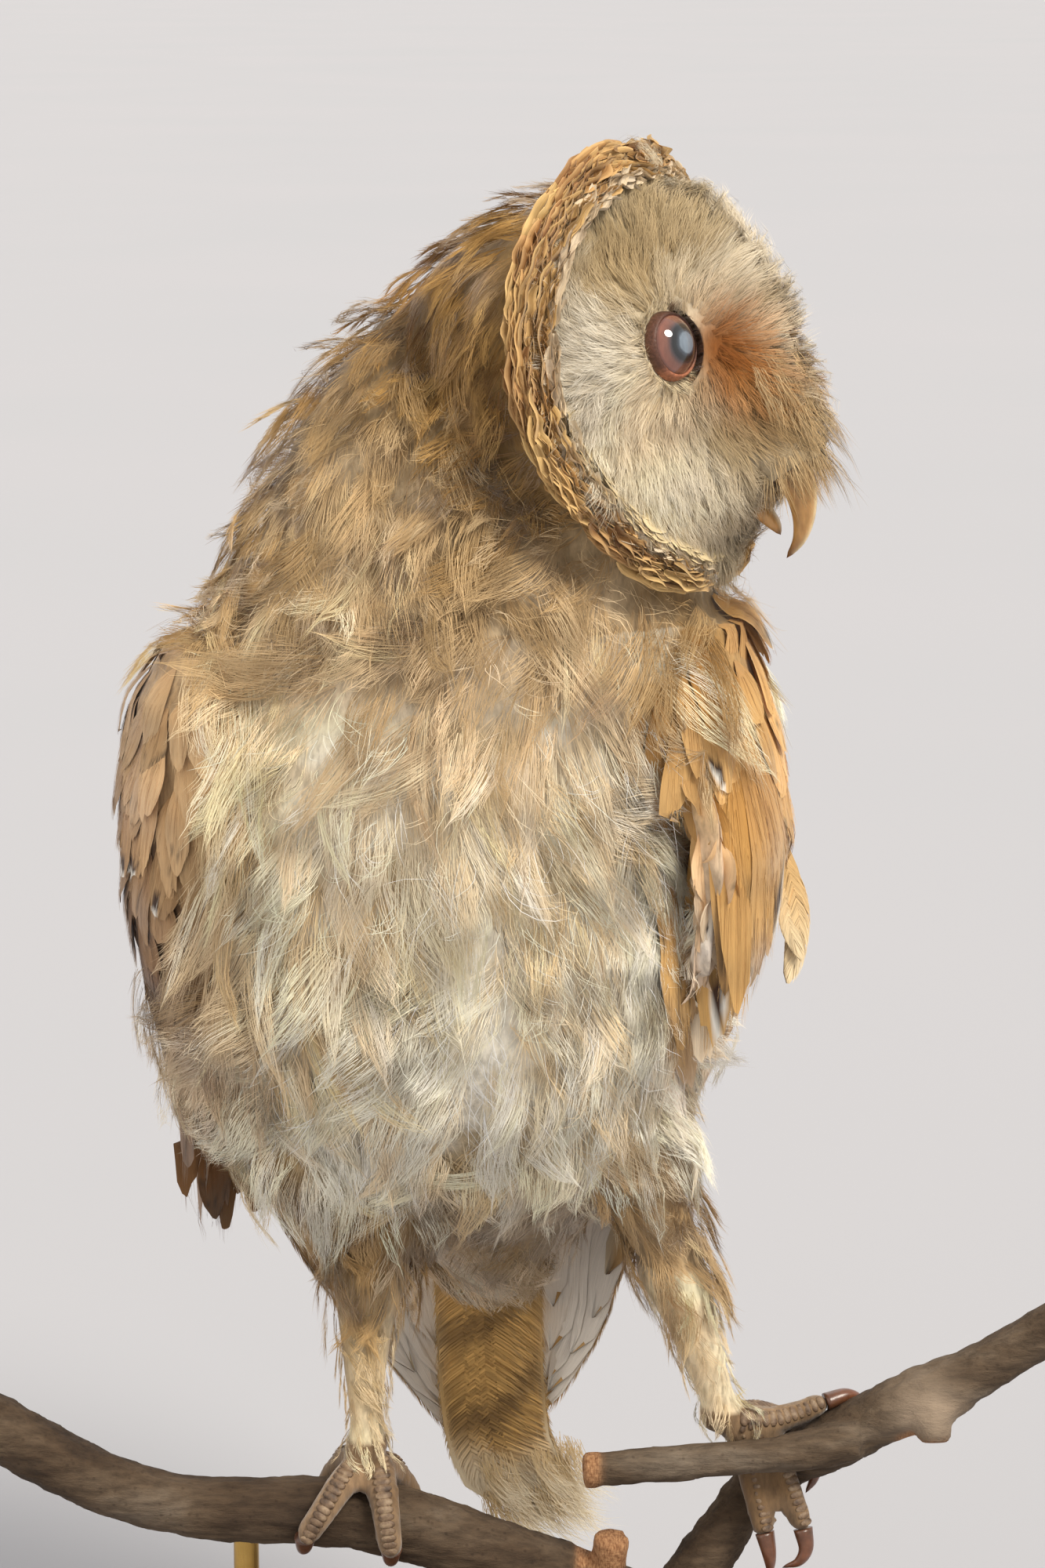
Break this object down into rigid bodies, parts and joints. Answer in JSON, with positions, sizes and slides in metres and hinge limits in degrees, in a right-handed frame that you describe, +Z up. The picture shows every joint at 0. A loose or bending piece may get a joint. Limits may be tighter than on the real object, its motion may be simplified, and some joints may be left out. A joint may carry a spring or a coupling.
{
  "type": "taxidermy barn owl on a branch",
  "caption": "Still life-size mounted barn owl gripping a cut forked branch, head turned to its left, on a plain round stand with short rods.",
  "frame": {"origin": "centre of the stand's flat underside", "axes": "+Z up; the breast faces -Y; +X is the owl's left, the side its head is turned to"},
  "size_m": [0.2738, 0.168, 0.399],
  "materials": {
    "stand_wood": "dark stained wood, satin",
    "rod_brass": "plain rod, satin",
    "bark": "dry grey-brown bark with orange-brown sawn ends",
    "plumage": "soft cream plumage over skin",
    "face_plumage": "short silky cream facial feathers",
    "ruff_plumage": "stiff golden-ochre rim feathers",
    "wing_plumage": "golden-buff flight feathers and coverts",
    "horn": "pale horn, slightly glossy",
    "claw": "dark red-brown horn",
    "toe_skin": "dry scaled skin with fine bristles",
    "eye": "glossy dark glass eye, reddish-brown iris round a cloudy blue-grey pupil"
  },
  "bodies": {
    "root": {"stand_base": "stand_wood", "stand_rod_right": "rod_brass", "stand_rod_left": "rod_brass", "perch_limb": "bark", "perch_fork": "bark", "perch_spur": "bark", "trunk": "plumage", "neck": "plumage", "head": "plumage", "facial_disc": "face_plumage", "ruff": "ruff_plumage", "eye_right": "eye", "eye_left": "eye", "bill_upper": "horn", "bill_lower": "horn", "wing_right_shoulder": "wing_plumage", "wing_left_shoulder": "wing_plumage", "wing_right_coverts": "wing_plumage", "wing_left_coverts": "wing_plumage", "wing_right_primaries": "wing_plumage", "wing_left_primaries": "wing_plumage", "loose_coverts": "wing_plumage", "tail": "plumage", "thigh_right": "plumage", "shank_right": "plumage", "foot_right": "toe_skin", "thigh_left": "plumage", "shank_left": "plumage", "foot_left": "toe_skin", "claw_right_1": "claw", "claw_right_2": "claw", "claw_right_3": "claw", "claw_right_4": "claw", "claw_left_1": "claw", "claw_left_2": "claw", "claw_left_3": "claw", "claw_left_4": "claw"}
  },
  "joints": []
}
